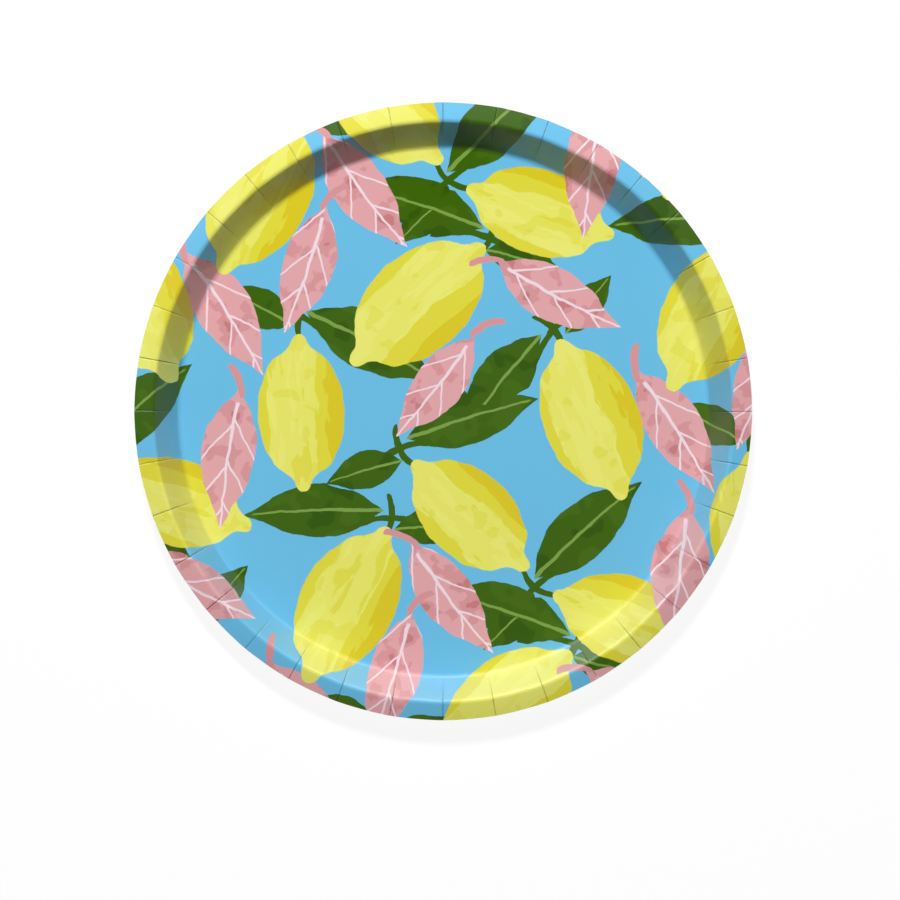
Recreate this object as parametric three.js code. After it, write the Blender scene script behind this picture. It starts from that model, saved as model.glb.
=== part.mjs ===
// Round pressed-board serving plate, millimetres, +Z up.
// Origin: centre of the underside, so the plate stands on Z = 0.
//
// One flat blank, laminated from three sheets, is pressed into a plate: a flat
// well, a straight steep wall and a narrow rim that falls away towards its edge.
// Pressing gathers the extra board into creases, evenly spaced round the wall and
// rim, that die out at the foot of the wall.
import * as THREE from 'three';

// ---- driving dimensions -------------------------------------------------------
const plateDiameter = 228.6;      // rim edge to rim edge, across two creases
const wallTopDiameter = 214.4;    // where the wall's line meets the rim's line
const wellDiameter = 197.6;       // where the wall's line meets the floor's line
const wallRise = 16.1;            // floor of the well up to the wall-top corner
const footBendRadius = 2.4;       // on the printed side, where floor turns into wall
const rimBendRadius = 1.6;        // on the printed side, where wall turns into rim
const rimFall = THREE.MathUtils.degToRad(9);        // slope of the rim at the wall
const rimEdgeFall = THREE.MathUtils.degToRad(15);   // slope of the rim at its edge

const creaseCount = 36;
const creaseWidth = 0.5;
const creaseDepth = 0.12;

// the laminate, from the printed side down
const sheets = [
  { name: 'clear_gloss_film', thickness: 0.02, color: 0xeaf2f4, roughness: 0.22 },
  { name: 'printed_paper', thickness: 0.1, color: 0x77bfe6, roughness: 0.45 },
  { name: 'pressed_board', thickness: 0.33, color: 0xf1eee6, roughness: 0.85 },
];
const boardThickness = sheets.reduce((sum, sheet) => sum + sheet.thickness, 0);

// ---- the printed side's profile -------------------------------------------------
// Each point of the profile has its place (r, z), its slope and how much of the
// creases' depth it takes. The normal, which the sheets are stacked along, follows
// from the slope.
const wellRadius = wellDiameter / 2;
const wallTopRadius = wallTopDiameter / 2;
const rimRadius = plateDiameter / 2;
const wallSlope = Math.atan2(wallRise, wallTopRadius - wellRadius);
const floorZ = boardThickness;
const wallTopZ = floorZ + wallRise;

function point(r, z, slope, creased) {
  return { r, z, slope, creased };
}

// A bend between two straight runs that meet at corner, drawn as an arc.
function bend(corner, slopeIn, slopeOut, radius, steps, creasedAt) {
  const turn = slopeOut - slopeIn;
  const side = Math.sign(turn);                    // +1 turns up, -1 turns down
  const tangent = radius * Math.tan(Math.abs(turn) / 2);
  const startR = corner.r - tangent * Math.cos(slopeIn);
  const startZ = corner.z - tangent * Math.sin(slopeIn);
  const centreR = startR - side * radius * Math.sin(slopeIn);
  const centreZ = startZ + side * radius * Math.cos(slopeIn);
  const points = [];
  for (let i = 0; i <= steps; i += 1) {
    const slope = slopeIn + (turn * i) / steps;
    const r = centreR + side * radius * Math.sin(slope);
    const z = centreZ - side * radius * Math.cos(slope);
    points.push(point(r, z, slope, creasedAt(i / steps)));
  }
  return points;
}

function printedSide() {
  const foot = bend({ r: wellRadius, z: floorZ }, 0, wallSlope, footBendRadius, 1,
    (along) => 0.3 * along);
  const wallTop = bend({ r: wallTopRadius, z: wallTopZ }, wallSlope, -rimFall,
    rimBendRadius, 2, () => 1);
  const rimStart = wallTop[wallTop.length - 1];
  const width = rimRadius - rimStart.r;
  const meanFall = (rimFall + rimEdgeFall) / 2;
  const edge = point(rimRadius, rimStart.z - width * Math.tan(meanFall), -rimEdgeFall, 1);
  return [point(0, floorZ, 0, 0), ...foot, ...wallTop, edge];
}

// ---- the creases ----------------------------------------------------------------
// Four columns of points for each crease: its two shoulders with the valley between
// them, and the middle of the plain panel that follows.
const columnsPerCrease = 4;
const columns = creaseCount * columnsPerCrease;
const pitch = (2 * Math.PI) / creaseCount;
const halfCrease = creaseWidth / 2 / rimRadius;    // half a crease's width, as an angle

function columnAngle(column) {
  const offsets = [0, halfCrease, pitch / 2, pitch - halfCrease];
  const crease = Math.floor(column / columnsPerCrease);
  return crease * pitch + offsets[column % columnsPerCrease];
}

function columnDepth(column) {
  return column % columnsPerCrease === 0 ? creaseDepth : 0;
}

// ---- one sheet of the laminate ----------------------------------------------------
// Turned as a closed lathe shape, then each column of points is moved to its place on
// the creased plate. Sheets that touch share the very same surface, point for point.
function sheetGeometry(upperDepth, lowerDepth) {
  const profile = printedSide();
  const rows = [
    ...profile.map((at) => ({ at, depth: lowerDepth })),
    ...profile.map((at) => ({ at, depth: upperDepth })).reverse(),
  ];
  const outline = rows.map(({ at }) => new THREE.Vector2(at.r, at.z));
  const geometry = new THREE.LatheGeometry(outline, columns);
  const position = geometry.getAttribute('position');
  for (let column = 0; column <= columns; column += 1) {
    const angle = columnAngle(column % columns);
    rows.forEach(({ at, depth }, row) => {
      const sunk = depth + columnDepth(column % columns) * at.creased;
      const r = at.r === 0 ? 0 : at.r + sunk * Math.sin(at.slope);
      const z = at.z - sunk * Math.cos(at.slope);
      position.setXYZ(column * rows.length + row, r * Math.cos(angle), r * Math.sin(angle), z);
    });
  }
  geometry.setIndex(sheetTriangles(rows.length, profile.length));
  geometry.deleteAttribute('uv');
  geometry.computeVertexNormals();
  return geometry;
}

// The two faces of a sheet are cut along the same diagonals, so that the lower face of
// one sheet and the upper face of the next are the same triangles.
function sheetTriangles(rowCount, lowerRows) {
  const triangles = [];
  for (let column = 0; column < columns; column += 1) {
    for (let row = 0; row < rowCount - 1; row += 1) {
      const here = column * rowCount + row;
      const beside = here + rowCount;
      if (row < lowerRows) {
        triangles.push(here, beside, here + 1, beside + 1, here + 1, beside);
      } else {
        triangles.push(here, beside, beside + 1, here, beside + 1, here + 1);
      }
    }
  }
  return triangles;
}

// ---- the plate --------------------------------------------------------------------
const plate = new THREE.Group();
let depth = 0;
for (const sheet of sheets) {
  const geometry = sheetGeometry(depth, depth + sheet.thickness);
  const material = new THREE.MeshStandardMaterial({
    color: sheet.color,
    roughness: sheet.roughness,
    metalness: 0,
  });
  const mesh = new THREE.Mesh(geometry, material);
  mesh.name = sheet.name;
  plate.add(mesh);
  depth += sheet.thickness;
}

export default plate;
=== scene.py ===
import math
import random
import bmesh
import bpy
from mathutils import Matrix, Vector


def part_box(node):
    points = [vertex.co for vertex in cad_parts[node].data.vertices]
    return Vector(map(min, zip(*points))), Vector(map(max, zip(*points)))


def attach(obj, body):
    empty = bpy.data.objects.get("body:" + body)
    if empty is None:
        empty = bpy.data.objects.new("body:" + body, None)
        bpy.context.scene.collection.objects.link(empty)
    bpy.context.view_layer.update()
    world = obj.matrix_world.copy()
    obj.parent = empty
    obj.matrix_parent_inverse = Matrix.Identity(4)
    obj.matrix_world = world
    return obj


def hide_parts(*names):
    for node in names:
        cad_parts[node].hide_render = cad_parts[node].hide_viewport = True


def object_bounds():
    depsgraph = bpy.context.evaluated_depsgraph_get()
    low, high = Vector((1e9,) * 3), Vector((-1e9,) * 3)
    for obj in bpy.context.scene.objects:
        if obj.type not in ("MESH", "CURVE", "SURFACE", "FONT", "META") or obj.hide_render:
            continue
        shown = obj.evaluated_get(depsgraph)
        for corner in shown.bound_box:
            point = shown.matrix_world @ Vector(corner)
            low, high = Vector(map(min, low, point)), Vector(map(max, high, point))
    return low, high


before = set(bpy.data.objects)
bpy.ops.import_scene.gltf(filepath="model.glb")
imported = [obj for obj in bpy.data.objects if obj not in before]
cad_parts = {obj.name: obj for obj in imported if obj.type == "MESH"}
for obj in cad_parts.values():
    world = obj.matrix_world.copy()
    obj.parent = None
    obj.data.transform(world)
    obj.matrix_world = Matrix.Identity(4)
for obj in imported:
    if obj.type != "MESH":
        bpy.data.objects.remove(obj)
cadLow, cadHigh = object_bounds()
mm = 0.001


# short ways of wiring nodes
def feed(tree, socket, value):
    if isinstance(value, bpy.types.NodeSocket):
        tree.links.new(value, socket)
    elif value is not None:
        socket.default_value = value


def calc(tree, operation, *values, clamp=False):
    node = tree.nodes.new("ShaderNodeMath")
    node.operation = operation
    node.use_clamp = clamp
    for socket, value in zip(node.inputs, values):
        feed(tree, socket, value)
    return node.outputs[0]


def vectorCalc(tree, operation, *values):
    node = tree.nodes.new("ShaderNodeVectorMath")
    node.operation = operation
    for socket, value in zip(node.inputs, values):
        feed(tree, socket, value)
    single = operation in ("LENGTH", "DOT_PRODUCT", "DISTANCE")
    return node.outputs["Value" if single else "Vector"]


def split(tree, vector):
    node = tree.nodes.new("ShaderNodeSeparateXYZ")
    feed(tree, node.inputs[0], vector)
    return node.outputs


def join(tree, x=0.0, y=0.0, z=0.0):
    node = tree.nodes.new("ShaderNodeCombineXYZ")
    for socket, value in zip(node.inputs, (x, y, z)):
        feed(tree, socket, value)
    return node.outputs[0]


def layOver(tree, under, over, mask):
    # the colour over on top of under, where mask says
    node = tree.nodes.new("ShaderNodeMix")
    node.data_type = "RGBA"
    feed(tree, node.inputs[0], mask)
    feed(tree, node.inputs[6], under)
    feed(tree, node.inputs[7], over)
    return node.outputs[2]


def curve(tree, value, points):
    # a curve through a few given points, flat beyond its ends
    node = tree.nodes.new("ShaderNodeFloatCurve")
    node.mapping.extend = "HORIZONTAL"
    line = node.mapping.curves[0]
    for x, y in points[1:-1]:
        line.points.new(x, y)
    line.points[0].location = points[0]
    line.points[-1].location = points[-1]
    node.mapping.update()
    feed(tree, node.inputs["Value"], value)
    return node.outputs[0]


def cloud(tree, vector, size, detail=2.0, roughness=0.5, colour=False):
    # soft noise whose blobs are about size across
    node = tree.nodes.new("ShaderNodeTexNoise")
    feed(tree, node.inputs["Vector"], vector)
    node.inputs["Scale"].default_value = 1.0 / size
    node.inputs["Detail"].default_value = detail
    node.inputs["Roughness"].default_value = roughness
    return node.outputs["Color" if colour else "Fac"]


def above(tree, value, level, softness):
    # 0 to 1 as value passes level, over a narrow soft edge
    gained = calc(tree, "SUBTRACT", value, level)
    return calc(tree, "MULTIPLY_ADD", gained, 1.0 / softness, 0.5, clamp=True)


def ink(red, green, blue):
    # a printed colour, from the 0 to 255 of a colour picker to the shader's own scale
    def straight(level):
        level /= 255
        return level / 12.92 if level <= 0.04045 else ((level + 0.055) / 1.055) ** 2.4
    return (straight(red), straight(green), straight(blue), 1.0)


def newGroup(name, takes, gives):
    group = bpy.data.node_groups.new(name, "ShaderNodeTree")
    for label, kind in takes:
        group.interface.new_socket(label, in_out="INPUT", socket_type="NodeSocket" + kind)
    for label, kind in gives:
        group.interface.new_socket(label, in_out="OUTPUT", socket_type="NodeSocket" + kind)
    return group, group.nodes.new("NodeGroupInput").outputs


def closeGroup(group, *results):
    out = group.nodes.new("NodeGroupOutput")
    for socket, result in zip(out.inputs, results):
        feed(group, socket, result)
    return group


def useGroup(tree, group, *values):
    node = tree.nodes.new("ShaderNodeGroup")
    node.node_tree = group
    for socket, value in zip(node.inputs, values):
        feed(tree, socket, value)
    return node.outputs


# the sheets and the pressed plate, sizes in metres, the plate's on its printed side
sheets = {
    "printed": 0.12 * mm,        # the printed paper with its film
    "board": 0.33 * mm,
}
plate = {
    "radius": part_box("clear_gloss_film")[1].x - 0.02 * mm,
    "floorZ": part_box("printed_paper")[0].z + sheets["printed"],
    "footRadius": 98.8 * mm,
    "wallTopRadius": 107.2 * mm,
    "wallRise": 16.05 * mm,
    "footBend": 1.45 * mm,       # how far from the corner each bend starts
    "rimBend": 1.15 * mm,
    "rimCurve": 0.6,             # the part of the rim's half width that curves
    "rimFall": (10.5, 13.5),     # degrees, inner and outer half of the rim
    "bendSteps": 6,
    "plainRun": 1.2 * mm,        # straight runs longer than this are cut up
    "longRun": 10 * mm,          # and those longer than this are cut finer
    "longRunCuts": 5,
    "mergeWithin": 0.002 * mm,
    "hardEdge": 50,              # degrees, where the shading breaks
}
creases = {
    "count": 36,
    "halfWidth": 0.32 * mm,
    "depth": 0.26 * mm,
    "step": 0.12 * mm,           # one side of a crease stands a little higher
    "stepReach": 5 * mm,         # and that dies out this far from it
    "flat": 0.14 * mm,           # how far a panel's middle lies inside the circle
    "shift": 0.5 * mm,           # how far a crease strays along the rim
    "shiftReach": 6 * mm,
    "wave": 0.12 * mm,           # slow rise and fall of the rim
    "waveTurn": 0.7,             # radians
    "growth": 1.1,               # a crease is full a little below the wall's top
    "depthSpread": (0.75, 1.2),
    "stepSpread": (0.4, 1.2),
    "flatSpread": (0.5, 1.1),
    "columns": (0.1, 0.2, 0.32, 0.6, 1.5),   # mm from the crease, at the rim
    "panelSteps": 4,
    "seed": 7,
}


def plateProfile(bm):
    # half the plate's section, from the axis to the edge, with its bends rounded
    innerFall, outerFall = (math.tan(math.radians(fall)) for fall in plate["rimFall"])
    halfRim = (plate["radius"] - plate["wallTopRadius"]) / 2
    wallTopZ = plate["floorZ"] + plate["wallRise"]
    midRimZ = wallTopZ - halfRim * innerFall
    corners = [
        (0, plate["floorZ"]),
        (plate["footRadius"], plate["floorZ"]),
        (plate["wallTopRadius"], wallTopZ),
        (plate["wallTopRadius"] + halfRim, midRimZ),
        (plate["radius"], midRimZ - halfRim * outerFall),
    ]
    verts = [bm.verts.new((x, 0, z)) for x, z in corners]
    for pair in zip(verts, verts[1:]):
        bm.edges.new(pair)
    steps = plate["bendSteps"]
    for corner, offset, segments in ((1, plate["footBend"], steps), (2, plate["rimBend"], steps),
                                     (3, halfRim * plate["rimCurve"], steps // 2)):
        bmesh.ops.bevel(bm, geom=[verts[corner]], offset=offset, segments=segments,
                        profile=0.5, affect="VERTICES", material=-1)
    # straight runs are cut up, so that the creases can die out along them
    for edge in [e for e in bm.edges if e.calc_length() > plate["plainRun"]]:
        cuts = plate["longRunCuts"] if edge.calc_length() > plate["longRun"] else 1
        bmesh.ops.subdivide_edges(bm, edges=[edge], cuts=cuts)


def spinPlate(bm):
    # one crease with half a panel on each side, its columns close together, then copies
    pitch = 2 * math.pi / creases["count"]
    offsets = [c * mm / plate["radius"] for c in creases["columns"]]
    half = pitch / 2
    stops = [half - (half - offsets[-1]) * i / creases["panelSteps"]
             for i in range(creases["panelSteps"])] + offsets[::-1]
    angles = [-s for s in stops] + [0] + stops[::-1]
    bmesh.ops.rotate(bm, verts=bm.verts, matrix=Matrix.Rotation(angles[0], 3, "Z"))
    geom = bm.verts[:] + bm.edges[:]
    for here, there in zip(angles, angles[1:]):
        made = bmesh.ops.spin(bm, geom=geom, axis=(0, 0, 1), angle=there - here, steps=1)
        geom = made["geom_last"]
    bmesh.ops.spin(bm, geom=bm.verts[:] + bm.edges[:] + bm.faces[:], axis=(0, 0, 1),
                   angle=2 * math.pi - pitch, steps=creases["count"] - 1, use_duplicate=True)
    bmesh.ops.remove_doubles(bm, verts=bm.verts, dist=plate["mergeWithin"])
    bmesh.ops.recalc_face_normals(bm, faces=bm.faces)
    if sum(f.normal.z for f in bm.faces) < 0:
        bmesh.ops.reverse_faces(bm, faces=bm.faces)


def pressCreases(bm):
    # each crease is a fine V with one side raised; it grows up the wall from nothing
    chance = random.Random(creases["seed"])
    pitch = 2 * math.pi / creases["count"]
    hands = [{
        "shift": chance.uniform(-1, 1) * creases["shift"],
        "depth": creases["depth"] * chance.uniform(*creases["depthSpread"]),
        "step": creases["step"] * chance.choice((-1, 1)) * chance.uniform(*creases["stepSpread"]),
        "flat": creases["flat"] * chance.uniform(*creases["flatSpread"]),
    } for _ in range(creases["count"])]
    marked = bm.verts.layers.float.new("crease")
    bm.normal_update()
    moves = []
    for vert in bm.verts:
        radius = math.hypot(vert.co.x, vert.co.y)
        upWall = (radius - plate["footRadius"]) / (plate["wallTopRadius"] - plate["footRadius"])
        share = min(1, max(0, upWall * creases["growth"]))
        if share == 0:
            continue
        angle = math.atan2(vert.co.y, vert.co.x)
        number = round(angle / pitch)
        hand = hands[number % creases["count"]]
        offset = (angle - number * pitch) * plate["radius"]
        away = abs(offset)
        groove = max(0, 1 - away / creases["halfWidth"])
        side = (offset > 0) - (offset < 0)
        side *= max(0, 1 - away / creases["stepReach"])
        lift = (side * hand["step"] / 2 - groove * hand["depth"]) * share
        middle = 1 - (1 - away / (pitch * plate["radius"] / 2)) ** 2
        inwards = hand["flat"] * middle * share
        wave = creases["wave"] * (1 + math.sin(2 * angle + creases["waveTurn"])) / 2 * share
        turn = hand["shift"] * max(0, 1 - away / creases["shiftReach"]) / plate["radius"]
        # the groove's mask, which the printed paper's material darkens with painted shade
        vert[marked] = groove * share
        moves.append((vert, lift, inwards / radius, wave, turn))
    for vert, lift, inwards, wave, turn in moves:
        place = vert.co + vert.normal * lift
        place.x *= 1 - inwards
        place.y *= 1 - inwards
        place.z -= wave
        vert.co = Matrix.Rotation(turn, 3, "Z") @ place


def pressedSheet(name, depth, thickness, materials):
    # one sheet of the laminate: the pressed surface, sunk to its depth, with a thickness;
    # the first material is on its upper face, the last on its lower one
    bm = bmesh.new()
    plateProfile(bm)
    spinPlate(bm)
    pressCreases(bm)
    bm.normal_update()
    if depth:
        for vert, place in [(v, v.co - v.normal * depth) for v in bm.verts]:
            vert.co = place
    upper = set(bm.faces)
    bmesh.ops.solidify(bm, geom=bm.faces[:], thickness=thickness)
    bm.normal_update()
    for face in bm.faces:
        face.smooth = True
        face.material_index = 0 if face in upper else len(materials) - 1
    for edge in bm.edges:
        if edge.is_manifold and edge.calc_face_angle() > math.radians(plate["hardEdge"]):
            edge.smooth = False
    mesh = bpy.data.meshes.new(name)
    bm.to_mesh(mesh)
    bm.free()
    for material in materials:
        mesh.materials.append(material)
    piece = bpy.data.objects.new(name, mesh)
    bpy.context.scene.collection.objects.link(piece)
    return piece


# The printed pattern is one sprig, a lemon on its stalk with leaves, laid over and over
# in a stepped grid. Everything is in millimetres; a turn in degrees points a leaf from
# its stalk to its tip, and size is half the length and half the width.
pattern = {
    "repeat": 155,
    "turn": -12,
    "columns": 3,
    "rows": 2,
    "lemonTurns": (-130, -55, -80, -100, -150, -30),
    "nudge": 3,                   # how far a sprig strays from its grid place
    "sizeSpread": 0.08,
    "seed": 6,
    "handWobble": (0.45, 7),      # how far off the true line, and how often
}
sprig = {
    "stalks": [
        {"at": (-35, 3), "turn": 160, "size": (9, 1.1), "bow": 2.5},
        {"at": (-33, -3), "turn": 70, "size": (14, 1.1), "bow": 4},
    ],
    "pinkStalks": [{"at": (-13, -24), "turn": 20, "size": (7, 1.2), "bow": 1.2}],
    "greenLeaves": [
        {"at": (-24, 27), "turn": 60, "size": (26, 10), "bow": 0.1},
        {"at": (-40, -15), "turn": -120, "size": (15, 7), "bow": -0.1},
    ],
    "lemons": [{"at": (0, 0), "turn": 0, "size": (31, 17.3), "bow": 0}],
    "pinkLeaves": [{"at": (16, -27), "turn": -10, "size": (26, 10), "bow": -0.1}],
}


def laySprigs():
    # the sprigs of one repeat, each turned its own way and every other one mirrored
    chance = random.Random(pattern["seed"])
    column = pattern["repeat"] / pattern["columns"]
    row = pattern["repeat"] / pattern["rows"]
    laid = {kind: [] for kind in sprig}
    for number, turn in enumerate(pattern["lemonTurns"]):
        across = number % pattern["columns"] - 1
        up = number // pattern["columns"]
        nudge = Vector([chance.uniform(-1, 1) * pattern["nudge"] for _ in "xy"])
        middle = Vector((across * column, (up - 0.5) * row + across * row / 3)) + nudge
        hand = 1 if number % 2 else -1
        swing = Matrix.Rotation(math.radians(turn), 2)
        for kind, parts in sprig.items():
            for part in parts:
                scale = 1 + chance.uniform(-1, 1) * pattern["sizeSpread"]
                laid[kind].append({
                    "at": middle + swing @ Vector((part["at"][0], part["at"][1] * hand)),
                    "turn": turn + part["turn"] * hand,
                    "size": [half * scale for half in part["size"]],
                    "bow": part["bow"] * hand,
                })
    return laid


inks = {
    "sky": ink(106, 188, 227),
    "lemon": ink(229, 228, 104),
    "lemonMid": ink(221, 214, 62),
    "lemonDeep": ink(216, 198, 38),
    "lemonPale": ink(233, 233, 122),
    "leaf": ink(60, 98, 10),
    "leafLight": ink(67, 105, 16),
    "leafDark": ink(50, 87, 7),
    "leafVein": ink(122, 158, 72),
    "pink": ink(223, 164, 168),
    "pinkMid": ink(213, 148, 152),
    "pinkDeep": ink(198, 124, 128),
    "pinkVein": ink(238, 216, 226),
    # a brown for painted shade in the crease grooves, not an ink of the print
    "creaseShadeInk": ink(70, 66, 34),
}


def buildRepeatPlace():
    # a motif's own coordinates, -1 to 1 along and across it, in whichever repeat is near
    group, given = newGroup("place in half-drop repeat",
                            [("Point", "Vector"), ("Centre", "Vector"), ("Turn", "Vector"),
                             ("Half Size", "Vector")], [("Local", "Vector")])
    repeat = pattern["repeat"] * mm
    away = split(group, vectorCalc(group, "SUBTRACT", given["Point"], given["Centre"]))
    column = calc(group, "ROUND", calc(group, "MULTIPLY", away[0], 1 / repeat))
    across = calc(group, "WRAP", away[0], repeat / 2, -repeat / 2)
    dropped = calc(group, "MULTIPLY_ADD", column, repeat / 2, away[1])
    up = calc(group, "WRAP", dropped, repeat / 2, -repeat / 2)
    near = join(group, across, up, away[2])
    turned = group.nodes.new("ShaderNodeMapping")
    turned.vector_type = "TEXTURE"
    feed(group, turned.inputs["Vector"], near)
    feed(group, turned.inputs["Rotation"], given["Turn"])
    feed(group, turned.inputs["Scale"], given["Half Size"])
    return closeGroup(group, turned.outputs[0])


def buildBow():
    # bends a leaf or stalk sideways between its two fixed ends
    group, given = newGroup("bow a leaf", [("Local", "Vector"), ("Bow", "Float")],
                            [("Local", "Vector")])
    along = split(group, given["Local"])[0]
    middle = calc(group, "SUBTRACT", 1.0, calc(group, "MULTIPLY", along, along))
    side = calc(group, "MULTIPLY", middle, given["Bow"])
    return closeGroup(group, vectorCalc(group, "SUBTRACT", given["Local"], join(group, 0, side)))


def buildNearer():
    # the one of two motifs that the point lies in or nearest to
    group, given = newGroup("nearer motif", [("First", "Vector"), ("Second", "Vector")],
                            [("Local", "Vector")])
    first = vectorCalc(group, "DOT_PRODUCT", given["First"], given["First"])
    second = vectorCalc(group, "DOT_PRODUCT", given["Second"], given["Second"])
    pick = group.nodes.new("ShaderNodeMix")
    pick.data_type = "VECTOR"
    feed(group, pick.inputs[0], calc(group, "LESS_THAN", second, first))
    feed(group, pick.inputs[4], given["First"])
    feed(group, pick.inputs[5], given["Second"])
    return closeGroup(group, pick.outputs[1])


def scatter(tree, point, motifs, groups):
    # lays out one kind of motif; the local z tells its copies apart
    best = None
    for number, motif in enumerate(motifs, start=1):
        centre = (motif["at"][0] * mm, motif["at"][1] * mm, -number * mm)
        size = (motif["size"][0] * mm, motif["size"][1] * mm, 1)
        local = useGroup(tree, groups["place"], point, centre,
                         (0, 0, math.radians(motif["turn"])), size)[0]
        if motif["bow"]:
            local = useGroup(tree, groups["bow"], local, motif["bow"])[0]
        best = local if best is None else useGroup(tree, groups["nearer"], best, local)[0]
    return best


# half widths along each shape, from its stalk to its tip
lemonShape = [(0, 0), (0.02, 0.14), (0.07, 0.24), (0.2, 0.72), (0.5, 1), (0.8, 0.7),
              (0.92, 0.24), (0.975, 0.16), (1, 0)]
leafShape = [(0, 0), (0.05, 0.16), (0.2, 0.68), (0.42, 1), (0.64, 0.86), (0.84, 0.38), (1, 0)]
stalkShape = [(0, 0.6), (0.06, 1), (0.94, 0.9), (1, 0)]
tipSlope = 4.0                    # how bluntly a shape closes at its two ends
paintEdge = 0.02                  # how soft the edge of a patch of paint is


def outline(tree, local, shape):
    # gives x and y, each -1 to 1 over the motif, its copy's own z and the filled shape
    x, y, z = split(tree, local)
    along = calc(tree, "MULTIPLY_ADD", x, 0.5, 0.5)
    width = curve(tree, along, shape)
    gap = calc(tree, "SUBTRACT", width, calc(tree, "ABSOLUTE", y))
    toEnd = calc(tree, "SUBTRACT", 1.0, calc(tree, "ABSOLUTE", x))
    gap = calc(tree, "MINIMUM", gap, calc(tree, "MULTIPLY", toEnd, tipSlope))
    return x, y, z, above(tree, gap, paintEdge, paintEdge)


# how each motif is painted: the level of noise that a patch starts from, and how strong it is
lemonPaint = {
    "stroke": (0.9, 2.2, 900),    # stretches the noise along the fruit; z tells copies apart
    "strokeSize": 0.8,
    "blotSize": 11 * mm,
    "pale": (0.55, 0.6),
    "dabs": (0.6, 0.45),
    "strokes": (0.4, 0.75),       # this one is below its level
    "dabEdge": 0.015,
    "nearBank": 0.36,             # the golden sides, from how far across the fruit
    "nearBankWobble": 0.9,
    "farBank": 0.48,
    "farBankWobble": -0.5,
    "deepBank": 0.66,
}
leafPaint = {
    "washSize": 17 * mm,
    "dark": 0.42,
    "light": 0.57,
    "ribWidth": 0.05,
    "ribTaper": -0.02,
    "ribEnd": 0.86,
    "ribEndFade": 0.05,
}
pinkPaint = {
    "washSize": 11 * mm,
    "mid": 0.54,
    "deep": 0.64,
    "ribStart": -0.8,
    "ribStartFade": 0.03,
    "veinLean": -0.58,
    "veinStagger": 0.04,
    "veinSpacing": 0.3,
    "veinShift": 170,             # moves the veins a little from copy to copy
    "veinStart": 0.2,
    "veinWidth": 0.026,
    "veinTaper": -0.006,
    "veinEdge": 0.008,
}


def buildLemon():
    group, given = newGroup("lemon", [("Local", "Vector"), ("Point", "Vector")],
                            [("Color", "Color"), ("Shape", "Float")])
    x, y, z, shape = outline(group, given["Local"], lemonShape)
    # brush strokes run along the fruit
    paint = lemonPaint
    stretched = [calc(group, "MULTIPLY", part, stretch)
                 for part, stretch in zip((x, y, z), paint["stroke"])]
    stroked = join(group, *stretched)
    wash = cloud(group, stroked, paint["strokeSize"], detail=2.5, roughness=0.6)
    blots = cloud(group, given["Point"], paint["blotSize"], detail=1.5)
    wobble = paint["nearBankWobble"]
    bank = calc(group, "ADD", y, calc(group, "MULTIPLY_ADD", wash, wobble, -wobble / 2))
    paleFrom, paleStrength = paint["pale"]
    pale = calc(group, "MULTIPLY", above(group, wash, paleFrom, paintEdge), paleStrength)
    colour = layOver(group, inks["lemon"], inks["lemonPale"], pale)
    dabsFrom, dabsStrength = paint["dabs"]
    dabs = calc(group, "MULTIPLY", above(group, blots, dabsFrom, paint["dabEdge"]), dabsStrength)
    colour = layOver(group, colour, inks["lemonMid"], dabs)
    strokesBelow, strokesStrength = paint["strokes"]
    strokes = calc(group, "MULTIPLY", above(group, wash, strokesBelow, -paintEdge), strokesStrength)
    colour = layOver(group, colour, inks["lemonMid"], strokes)
    nearBank = above(group, bank, paint["nearBank"], paintEdge)
    colour = layOver(group, colour, inks["lemonMid"], nearBank)
    farBank = calc(group, "MULTIPLY_ADD", wash, paint["farBankWobble"],
                   calc(group, "MULTIPLY", y, -1))
    colour = layOver(group, colour, inks["lemonMid"],
                     above(group, farBank, paint["farBank"], paintEdge))
    colour = layOver(group, colour, inks["lemonDeep"],
                     above(group, bank, paint["deepBank"], paintEdge))
    return closeGroup(group, colour, shape)


def buildGreenLeaf():
    group, given = newGroup("green leaf", [("Local", "Vector"), ("Point", "Vector")],
                            [("Color", "Color"), ("Shape", "Float")])
    x, y, _, shape = outline(group, given["Local"], leafShape)
    paint = leafPaint
    wash = cloud(group, given["Point"], paint["washSize"], detail=2, roughness=0.5)
    dark = above(group, wash, paint["dark"], -paintEdge)
    colour = layOver(group, inks["leaf"], inks["leafDark"], dark)
    light = above(group, wash, paint["light"], paintEdge)
    colour = layOver(group, colour, inks["leafLight"], light)
    rib = calc(group, "MULTIPLY_ADD", x, paint["ribTaper"], paint["ribWidth"])
    middle = above(group, calc(group, "SUBTRACT", rib, calc(group, "ABSOLUTE", y)), 0, paintEdge)
    middle = calc(group, "MULTIPLY", middle, above(group, x, paint["ribEnd"], -paint["ribEndFade"]))
    colour = layOver(group, colour, inks["leafVein"], middle)
    return closeGroup(group, colour, shape)


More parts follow.
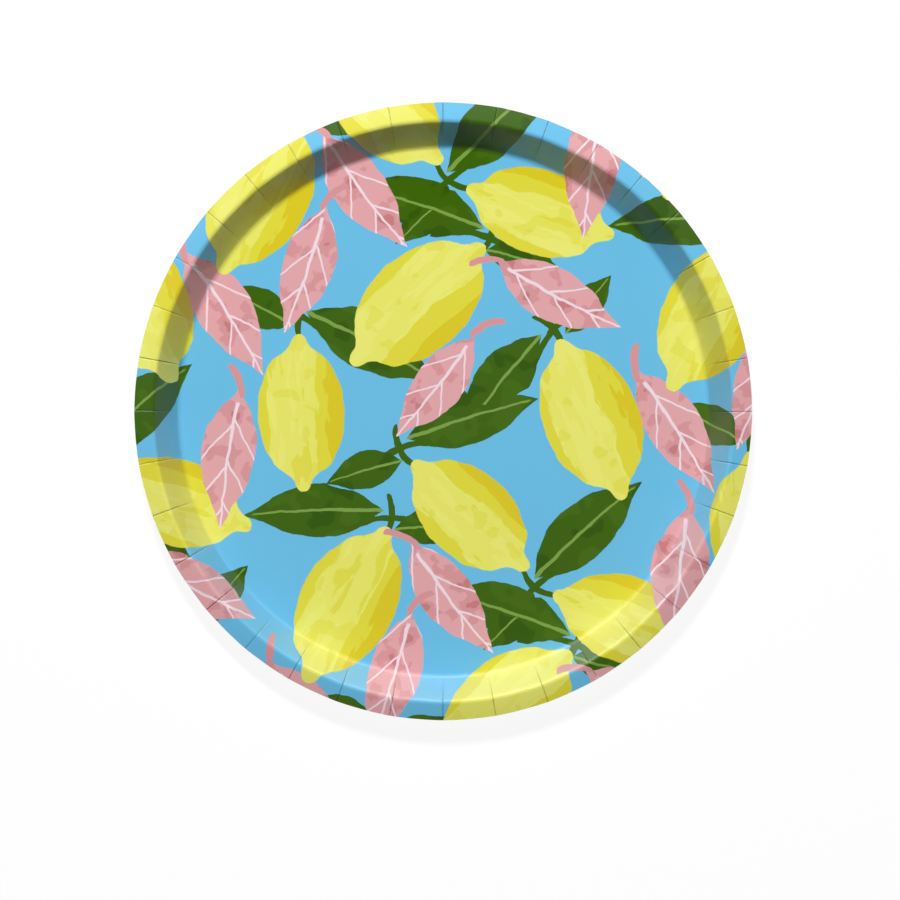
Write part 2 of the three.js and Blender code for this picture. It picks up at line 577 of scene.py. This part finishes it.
def buildPinkLeaf():
    group, given = newGroup("pink leaf", [("Local", "Vector"), ("Point", "Vector")],
                            [("Color", "Color"), ("Shape", "Float")])
    x, y, z, shape = outline(group, given["Local"], leafShape)
    paint = pinkPaint
    wash = cloud(group, given["Point"], paint["washSize"], detail=2.5, roughness=0.55)
    mid = above(group, wash, paint["mid"], paintEdge)
    colour = layOver(group, inks["pink"], inks["pinkMid"], mid)
    deep = above(group, wash, paint["deep"], paintEdge)
    colour = layOver(group, colour, inks["pinkDeep"], deep)
    across = calc(group, "ABSOLUTE", y)
    ribWidth = calc(group, "MULTIPLY_ADD", x, leafPaint["ribTaper"], leafPaint["ribWidth"])
    rib = above(group, calc(group, "SUBTRACT", ribWidth, across), 0, paintEdge)
    rib = calc(group, "MULTIPLY", rib, above(group, x, paint["ribStart"], paint["ribStartFade"]))
    # side veins in pairs, leaning to the tip
    lean = calc(group, "MULTIPLY_ADD", across, paint["veinLean"], x)
    stagger = calc(group, "MULTIPLY_ADD", calc(group, "SIGN", y), paint["veinStagger"], lean)
    start = calc(group, "MULTIPLY_ADD", z, paint["veinShift"], paint["veinStart"])
    step = calc(group, "PINGPONG", calc(group, "ADD", stagger, start), paint["veinSpacing"])
    fine = calc(group, "MULTIPLY_ADD", across, paint["veinTaper"], paint["veinWidth"])
    side = above(group, calc(group, "SUBTRACT", fine, step), 0, paint["veinEdge"])
    veins = calc(group, "MAXIMUM", rib, side)
    colour = layOver(group, colour, inks["pinkVein"], veins)
    return closeGroup(group, colour, shape)


def buildPrint():
    # the whole pattern, from a point on the sheet to its colour, laid on straight from
    # above and so stretched up the wall
    group, given = newGroup("lemons and leaves", [("Point", "Vector")], [("Color", "Color")])
    groups = {"place": buildRepeatPlace(), "bow": buildBow(), "nearer": buildNearer()}
    lemon, green, pink = buildLemon(), buildGreenLeaf(), buildPinkLeaf()
    flat = vectorCalc(group, "MULTIPLY", given["Point"], (1, 1, 0))
    turned = group.nodes.new("ShaderNodeVectorRotate")
    turned.rotation_type = "Z_AXIS"
    feed(group, turned.inputs["Vector"], flat)
    feed(group, turned.inputs["Angle"], math.radians(pattern["turn"]))
    amount, spacing = pattern["handWobble"]
    hand = cloud(group, turned.outputs[0], spacing * mm, detail=2, colour=True)
    offset = vectorCalc(group, "SUBTRACT", hand, (0.5, 0.5, 0.5))
    drawn = vectorCalc(group, "MULTIPLY_ADD", offset, (amount * 4 * mm, amount * 4 * mm, 0),
                       turned.outputs[0])
    colour = inks["sky"]
    laid = laySprigs()
    stalks = outline(group, scatter(group, drawn, laid["stalks"], groups), stalkShape)[-1]
    colour = layOver(group, colour, inks["leaf"], stalks)
    for motifs, drawing in ((laid["greenLeaves"], green), (laid["pinkLeaves"][::2], pink),
                            (laid["lemons"], lemon), (laid["pinkLeaves"][1::2], pink)):
        made = useGroup(group, drawing, scatter(group, drawn, motifs, groups), drawn)
        colour = layOver(group, colour, made[0], made[1])
    pinkStalks = scatter(group, drawn, laid["pinkStalks"], groups)
    colour = layOver(group, colour, inks["pinkMid"], outline(group, pinkStalks, stalkShape)[-1])
    return closeGroup(group, colour)


dieMarks = {
    "size": 0.9 * mm,
    "change": 0.12,               # how fast a mark changes up the wall, as a part of across it
    "fade": 0.3,                  # the part of the wall's half width over which they die out
}


def buildPressMarks():
    # fine marks up the wall, drawn into the sheet as the die pulls it down, and the mask
    # of the wall itself
    group, given = newGroup("press marks", [("Point", "Vector")],
                            [("Height", "Float"), ("On Wall", "Float")])
    x, y, z = split(group, given["Point"])
    angle = calc(group, "ARCTAN2", y, x)
    radius = calc(group, "SQRT", calc(group, "ADD", calc(group, "MULTIPLY", x, x),
                                      calc(group, "MULTIPLY", y, y)))
    unrolled = join(group, calc(group, "MULTIPLY", angle, plate["wallTopRadius"]),
                    calc(group, "MULTIPLY", radius, dieMarks["change"]))
    streaks = cloud(group, unrolled, dieMarks["size"], detail=2.5, roughness=0.6)
    middle = (plate["footRadius"] + plate["wallTopRadius"]) / 2
    reach = (plate["wallTopRadius"] - plate["footRadius"]) / 2
    away = calc(group, "ABSOLUTE", calc(group, "SUBTRACT", radius, middle))
    onWall = above(group, calc(group, "MULTIPLY", away, 1 / reach), 1, -dieMarks["fade"])
    return closeGroup(group, calc(group, "MULTIPLY", streaks, onWall), onWall)


def buildGrain():
    # the tooth of paper and board
    group, given = newGroup("paper grain", [("Point", "Vector"), ("Grains Across", "Float"),
                                            ("Detail", "Float")], [("Height", "Float")])
    noise = group.nodes.new("ShaderNodeTexNoise")
    feed(group, noise.inputs["Vector"], given["Point"])
    feed(group, noise.inputs["Scale"], given["Grains Across"])
    feed(group, noise.inputs["Detail"], given["Detail"])
    return closeGroup(group, noise.outputs["Fac"])


printedFinish = {
    "gloss": 0.3,                 # of the ink itself
    "roughness": (0.52, 0.1),     # at its least, and how much the grain adds
    "coat": (0.02, 0.85),         # the film in the well, and how much more up the wall
    "coatRoughness": 0.55,
    "paintedCreaseShade": 0.75,               # how dark the painted shade in a crease groove is
    # the size and strength of the patches that break up the painted crease shade
    "creaseShadeBreakSize": 1.2 * mm,
    "creaseShadePatches": (0.9, 0.15),
    "bump": 0.35,
    "bumpHeight": 0.1 * mm,
    "grainSize": 0.6 * mm,
    "grainBump": 0.1,
}
boardFinish = {
    "colours": (ink(236, 233, 225), ink(226, 222, 211), ink(240, 238, 232)),
    "roughness": (0.75, 0.15),
    "fibreSize": 1.5 * mm,
    "mottleSize": 14 * mm,
    "mottle": 0.6,
    "bump": 0.2,
    "bumpHeight": 0.1 * mm,
}


def printedPaperMaterial(grainGroup):
    material = bpy.data.materials.new("glossPrintedPaper")
    material.use_nodes = True
    tree = material.node_tree
    tree.nodes.clear()
    place = tree.nodes.new("ShaderNodeTexCoord").outputs["Object"]
    colour = useGroup(tree, buildPrint(), place)[0]
    # painted shade: the colour is darkened in each crease's groove, where the sheet is gathered,
    # broken up in patches
    finish = printedFinish
    gathered = tree.nodes.new("ShaderNodeAttribute")
    gathered.attribute_name = "crease"
    broken = cloud(tree, place, finish["creaseShadeBreakSize"], detail=1)
    paintedCreaseShade = calc(tree, "MULTIPLY", gathered.outputs["Fac"],
                  calc(tree, "MULTIPLY_ADD", broken, *finish["creaseShadePatches"]))
    creaseShadeAmount = calc(tree, "MULTIPLY", paintedCreaseShade, finish["paintedCreaseShade"], clamp=True)
    colourWithCreaseShade = layOver(tree, colour, inks["creaseShadeInk"], creaseShadeAmount)
    grain = useGroup(tree, grainGroup, place, 1 / finish["grainSize"], 2.0)[0]
    marks, onWall = useGroup(tree, buildPressMarks(), place)
    bump = tree.nodes.new("ShaderNodeBump")
    bump.inputs["Strength"].default_value = finish["bump"]
    bump.inputs["Distance"].default_value = finish["bumpHeight"]
    feed(tree, bump.inputs["Height"], calc(tree, "MULTIPLY_ADD", grain, finish["grainBump"], marks))
    shader = tree.nodes.new("ShaderNodeBsdfPrincipled")
    shader.inputs["Specular IOR Level"].default_value = finish["gloss"]
    shader.inputs["Coat Roughness"].default_value = finish["coatRoughness"]
    feed(tree, shader.inputs["Base Color"], colourWithCreaseShade)
    # the film shines more up the wall, where the die draws the sheet
    wellCoat, wallCoat = finish["coat"]
    feed(tree, shader.inputs["Coat Weight"],
         calc(tree, "MULTIPLY_ADD", onWall, wallCoat, wellCoat))
    least, added = finish["roughness"]
    feed(tree, shader.inputs["Roughness"], calc(tree, "MULTIPLY_ADD", grain, added, least))
    feed(tree, shader.inputs["Normal"], bump.outputs[0])
    feed(tree, tree.nodes.new("ShaderNodeOutputMaterial").inputs[0], shader.outputs[0])
    return material


def whiteBoardMaterial(grainGroup):
    material = bpy.data.materials.new("whiteBoard")
    material.use_nodes = True
    tree = material.node_tree
    tree.nodes.clear()
    place = tree.nodes.new("ShaderNodeTexCoord").outputs["Object"]
    finish = boardFinish
    fibre = useGroup(tree, grainGroup, place, 1 / finish["fibreSize"], 4.0)[0]
    mottle = cloud(tree, place, finish["mottleSize"], detail=2)
    plain, fibres, pale = finish["colours"]
    colour = layOver(tree, plain, fibres, fibre)
    colour = layOver(tree, colour, pale, calc(tree, "MULTIPLY", mottle, finish["mottle"]))
    bump = tree.nodes.new("ShaderNodeBump")
    bump.inputs["Strength"].default_value = finish["bump"]
    bump.inputs["Distance"].default_value = finish["bumpHeight"]
    feed(tree, bump.inputs["Height"], fibre)
    shader = tree.nodes.new("ShaderNodeBsdfPrincipled")
    feed(tree, shader.inputs["Base Color"], colour)
    least, added = finish["roughness"]
    feed(tree, shader.inputs["Roughness"], calc(tree, "MULTIPLY_ADD", fibre, added, least))
    feed(tree, shader.inputs["Normal"], bump.outputs[0])
    feed(tree, tree.nodes.new("ShaderNodeOutputMaterial").inputs[0], shader.outputs[0])
    return material


paperGrain = buildGrain()
printedPaper = printedPaperMaterial(paperGrain)
whiteBoard = whiteBoardMaterial(paperGrain)
sheet = pressedSheet("printed_sheet", 0, sheets["printed"], [printedPaper, whiteBoard])
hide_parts("printed_paper", "clear_gloss_film")
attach(sheet, "root")
board = pressedSheet("white_board", sheets["printed"], sheets["board"], [whiteBoard])
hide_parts("pressed_board")
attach(board, "root")
print("plate made")


studio = {
    "floorShade": 0.1,            # what the floor takes from the lamps
    "floorGlow": 0.905,           # and what it gives by itself, so shadows stay faint
    "floorHalf": 3,
    "floorAcross": 0.4,           # off centre, so that its middle line isn't under the plate
    "floorDrop": 0.3 * mm,
    "sky": 0.005,                 # the world as the plate sees it
    "room": 0.95,                 # and as the camera does
    "lamps": {
        "window": {"azimuth": 98, "elevation": 60, "distance": 1.7, "size": (0.2, 0.2),
                   "power": 32, "lights": "colour"},
        "lowCard": {"azimuth": 102, "elevation": 14, "distance": 1.2, "size": (1.8, 0.55),
                    "power": 46, "lights": "gloss"},
        "frontCard": {"azimuth": 275, "elevation": 30, "distance": 1.2, "size": (0.8, 0.1),
                      "power": 1.2, "lights": "gloss"},
    },
}


def layFloor():
    bm = bmesh.new()
    bmesh.ops.create_grid(bm, x_segments=1, y_segments=1, size=studio["floorHalf"])
    bmesh.ops.translate(bm, verts=bm.verts, vec=(studio["floorAcross"], 0, -studio["floorDrop"]))
    mesh = bpy.data.meshes.new("floor")
    bm.to_mesh(mesh)
    bm.free()
    floor = bpy.data.objects.new("floor", mesh)
    bpy.context.scene.collection.objects.link(floor)
    material = bpy.data.materials.new("paleFloor")
    material.use_nodes = True
    shader = material.node_tree.nodes["Principled BSDF"]
    shader.inputs["Base Color"].default_value = [studio["floorShade"]] * 3 + [1]
    shader.inputs["Roughness"].default_value = 1
    shader.inputs["Specular IOR Level"].default_value = 0
    shader.inputs["Emission Color"].default_value = (1, 1, 1, 1)
    shader.inputs["Emission Strength"].default_value = studio["floorGlow"]
    # seen from below, the floor lets the plate's back show
    nodes, links = material.node_tree.nodes, material.node_tree.links
    oneSided = nodes.new("ShaderNodeMixShader")
    links.new(nodes.new("ShaderNodeNewGeometry").outputs["Backfacing"], oneSided.inputs[0])
    links.new(shader.outputs[0], oneSided.inputs[1])
    links.new(nodes.new("ShaderNodeBsdfTransparent").outputs[0], oneSided.inputs[2])
    links.new(oneSided.outputs[0], nodes["Material Output"].inputs["Surface"])
    mesh.materials.append(material)


def hangLamp(name, azimuth, elevation, distance, size, power, lights):
    # a soft box at this bearing, facing the middle of the plate
    light = bpy.data.lights.new(name, "AREA")
    light.shape = "RECTANGLE"
    light.size, light.size_y = size
    light.energy = power
    lamp = bpy.data.objects.new(name, light)
    turn, rise = math.radians(azimuth), math.radians(elevation)
    flat = math.cos(rise)
    lamp.location = Vector((math.cos(turn) * flat, math.sin(turn) * flat, math.sin(rise))) * distance
    lamp.rotation_euler = lamp.location.to_track_quat("Z", "Y").to_euler()
    lamp.visible_camera = False
    lamp.visible_diffuse = lights == "colour"
    lamp.visible_glossy = lights == "gloss"
    bpy.context.scene.collection.objects.link(lamp)


def paintRoom():
    # the room is pale to look at, and nearly dark to the plate
    world = bpy.data.worlds.new("studio")
    bpy.context.scene.world = world
    world.use_nodes = True
    nodes, links = world.node_tree.nodes, world.node_tree.links
    dim = nodes["Background"]
    dim.inputs["Color"].default_value = (1, 1, 1, 1)
    dim.inputs["Strength"].default_value = studio["sky"]
    pale = nodes.new("ShaderNodeBackground")
    pale.inputs["Color"].default_value = (1, 1, 1, 1)
    pale.inputs["Strength"].default_value = studio["room"]
    mix = nodes.new("ShaderNodeMixShader")
    links.new(nodes.new("ShaderNodeLightPath").outputs["Is Camera Ray"], mix.inputs[0])
    links.new(dim.outputs[0], mix.inputs[1])
    links.new(pale.outputs[0], mix.inputs[2])
    links.new(mix.outputs[0], nodes["World Output"].inputs["Surface"])


layFloor()
for name, lamp in studio["lamps"].items():
    hangLamp(name, **lamp)
paintRoom()

# what the camera takes in at the rim's height, and where its middle is
view = {"width": 332.5 * mm, "height": 1.6, "across": 2.5 * mm, "up": -14.3 * mm}
lens = bpy.data.cameras.new("straightDown")
lens.sensor_width = 36
lens.lens = lens.sensor_width * view["height"] / view["width"]
lens.clip_end = 10
camera = bpy.data.objects.new("straightDown", lens)
camera.location = (view["across"], view["up"], cadHigh.z + view["height"])
bpy.context.scene.collection.objects.link(camera)
bpy.context.scene.camera = camera
bpy.context.scene.view_settings.view_transform = "Standard"
print("stage set")
